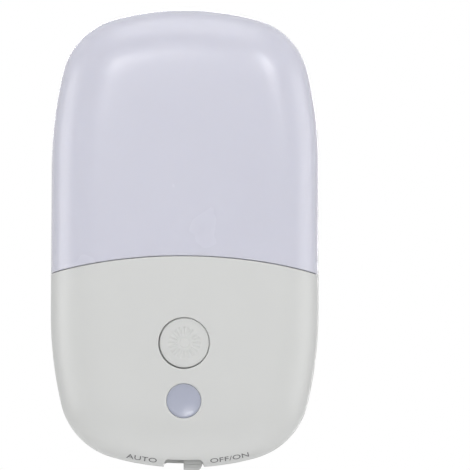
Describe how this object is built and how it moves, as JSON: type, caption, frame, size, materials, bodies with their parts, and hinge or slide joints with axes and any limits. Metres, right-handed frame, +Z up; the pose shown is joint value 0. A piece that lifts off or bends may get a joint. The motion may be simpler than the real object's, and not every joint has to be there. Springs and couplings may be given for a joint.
{
  "type": "plug-in night light",
  "caption": "Flat pill-shaped night light that plugs into a wall socket, with a domed diffuser, a round push button, a light sensor window and a slide switch knob in its bottom edge.",
  "frame": {"origin": "on the wall, at the middle of the plug boss's face, midway between the two blades", "axes": "+Z up, front faces -Y, the blades point along +Y into the socket"},
  "size_m": [0.0612, 0.0465, 0.1052],
  "materials": {
    "white_shell": "satin moulded",
    "diffuser": "translucent satin, frosted",
    "sensor_window": "tinted translucent lens",
    "insert": "satin moulded",
    "blades": "plated, polished",
    "board": "green solder mask",
    "lamps": "white case, amber lens",
    "reflector": "white",
    "black_plastic": "moulded",
    "film": "potted box",
    "sleeve": "printed sleeve over can",
    "blue_disc": "dipped",
    "resistor": "lacquered",
    "cell": "resin over track",
    "switch_metal": "plated",
    "screws": "plated"
  },
  "bodies": {
    "housing": {"rear_housing": "white_shell", "diffuser": "diffuser", "front_cover": "white_shell", "sensor_window": "sensor_window", "plug_insert": "insert", "line_blade": "blades", "neutral_blade": "blades", "main_board": "board", "led_board": "board", "leds": "lamps", "reflector_tray": "reflector", "board_header": "black_plastic", "film_capacitor": "film", "smoothing_capacitor": "sleeve", "bridge_rectifier": "black_plastic", "fuse_resistor": "resistor", "driver_chip": "black_plastic", "varistor": "blue_disc", "photocell": "cell", "photocell_sleeve": "black_plastic", "tact_switch_body": "black_plastic", "slide_switch_body": "switch_metal", "housing_screws": "screws", "led_board_screws": "screws"},
    "button": {"push_button": "white_shell", "tact_plunger": "black_plastic"},
    "slider": {"slide_lever": "black_plastic", "slide_knob": "white_shell"}
  },
  "joints": [
    {"name": "button_press", "type": "slide", "parent": "housing", "child": "button", "axis": [0, 1, 0], "range_m": [0, 0.0006], "stiffness_N_per_m": 2600},
    {"name": "knob_slide", "type": "slide", "parent": "housing", "child": "slider", "axis": [-1, 0, 0], "range_m": [0, 0.0041]}
  ]
}
